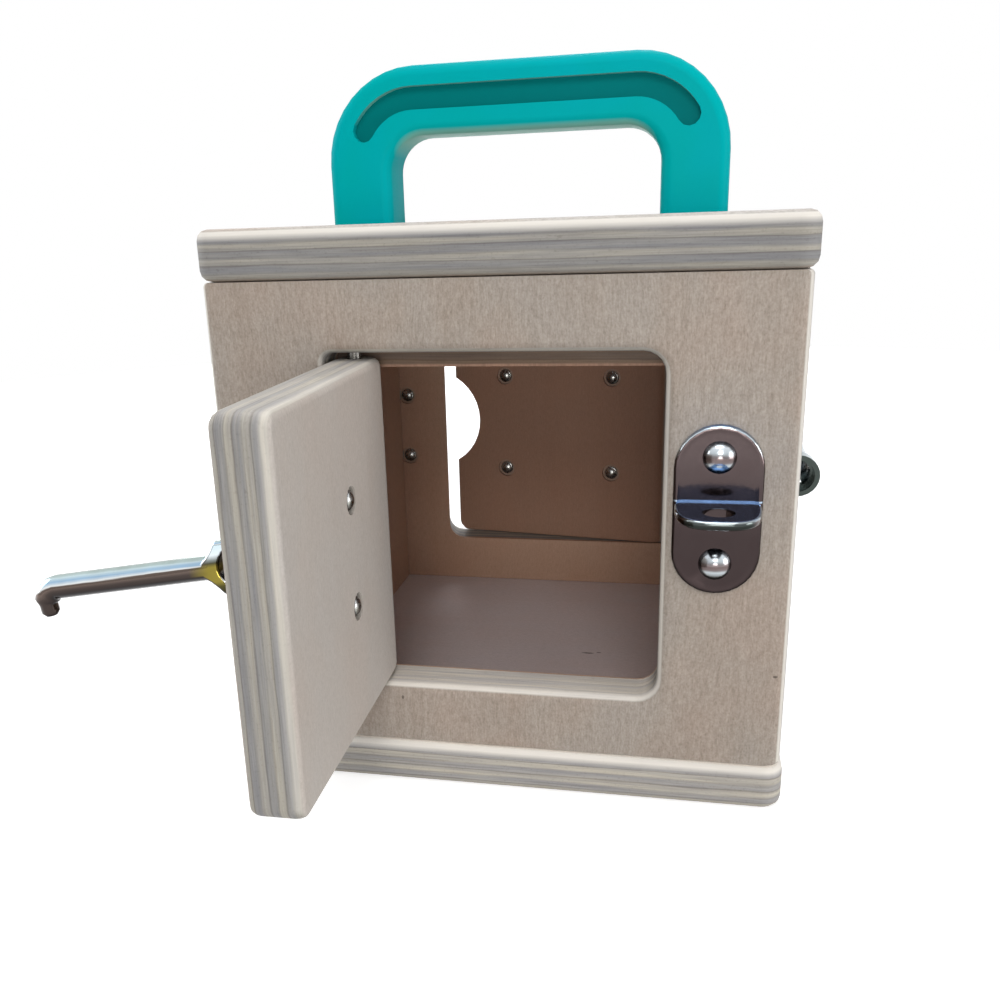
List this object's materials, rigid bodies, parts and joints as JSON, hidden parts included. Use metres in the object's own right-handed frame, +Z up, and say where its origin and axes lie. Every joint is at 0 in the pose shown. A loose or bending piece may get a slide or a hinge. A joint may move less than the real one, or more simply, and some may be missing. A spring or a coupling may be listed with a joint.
{
  "type": "lock box",
  "caption": "Plywood toy box with a carrying handle and hinged doors on its sides, held shut by a hook latch and slide bolts.",
  "frame": {"origin": "centre of the base plate's underside", "axes": "+Z up, -Y out of the front door's wall, +X to the right seen from the front"},
  "size_m": [0.1904, 0.2252, 0.1827],
  "materials": {
    "plywood": "satin lacquer, vertical grain, striped ply edges",
    "chrome": "bright plated",
    "steel": "plain turned",
    "teal_plastic": "semi-gloss moulded"
  },
  "bodies": {
    "box": {"base_plate": "plywood", "top_plate": "plywood", "front_panel": "plywood", "back_panel": "plywood", "left_panel": "plywood", "right_panel": "plywood", "carry_handle": "teal_plastic", "handle_left_screw": "steel", "handle_right_screw": "steel", "front_stop_strip": "plywood", "front_lower_pivot_pin": "steel", "front_upper_pivot_pin": "steel", "back_stop_strip": "plywood", "back_lower_pivot_pin": "steel", "back_upper_pivot_pin": "steel", "right_stop_strip": "plywood", "right_lower_pivot_pin": "steel", "right_upper_pivot_pin": "steel", "eye_plate": "chrome", "eye_plate_lower_rivet": "chrome", "eye_plate_upper_rivet": "chrome", "back_keeper": "chrome", "back_keeper_lower_rivet": "chrome", "back_keeper_upper_rivet": "chrome", "right_keeper": "chrome", "right_keeper_lower_rivet": "chrome", "right_keeper_upper_rivet": "chrome"},
    "front_door": {"front_door": "plywood", "hook_plate": "chrome", "hook_plate_lower_rivet": "chrome", "hook_plate_upper_rivet": "chrome"},
    "hook_pin": {"hook_pin": "steel"},
    "hook": {"hook": "chrome"},
    "back_door": {"back_door": "plywood", "back_bolt_base": "chrome", "back_bolt_rivet_1": "chrome", "back_bolt_rivet_2": "chrome", "back_bolt_rivet_3": "chrome", "back_bolt_rivet_4": "chrome"},
    "back_bolt": {"back_bolt": "chrome"},
    "right_door": {"right_door": "plywood", "right_bolt_base": "chrome", "right_bolt_rivet_1": "chrome", "right_bolt_rivet_2": "chrome", "right_bolt_rivet_3": "chrome", "right_bolt_rivet_4": "chrome"},
    "right_bolt": {"right_bolt": "chrome"}
  },
  "joints": [
    {"name": "front_door_hinge", "type": "hinge", "parent": "box", "child": "front_door", "pos_m": [-0.0344, -0.064, 0.07], "axis": [0, 0, 1], "range_deg": [-6, 88.7]},
    {"name": "hook_tilt", "type": "hinge", "parent": "front_door", "child": "hook_pin", "pos_m": [-0.04988, -0.09356, 0.0698], "axis": [-0.9997, -0.0227, 0], "range_deg": [0, 22]},
    {"name": "hook_swing", "type": "hinge", "parent": "hook_pin", "child": "hook", "pos_m": [-0.04988, -0.09356, 0.0698], "axis": [-0.1529, -0.0035, 0.9882], "range_deg": [-20, 90]},
    {"name": "back_door_hinge", "type": "hinge", "parent": "box", "child": "back_door", "pos_m": [0.0344, 0.064, 0.07], "axis": [0, 0, -1], "range_deg": [-8, 84]},
    {"name": "back_bolt_slide", "type": "slide", "parent": "back_door", "child": "back_bolt", "axis": [-0.9903, 0.1392, 0], "range_m": [0, 0.029]},
    {"name": "right_door_hinge", "type": "hinge", "parent": "box", "child": "right_door", "pos_m": [0.064, -0.0344, 0.07], "axis": [0, 0, -1], "range_deg": [0, 92]},
    {"name": "right_bolt_slide", "type": "slide", "parent": "right_door", "child": "right_bolt", "axis": [0, 1, 0], "range_m": [-0.014, 0.01]}
  ]
}
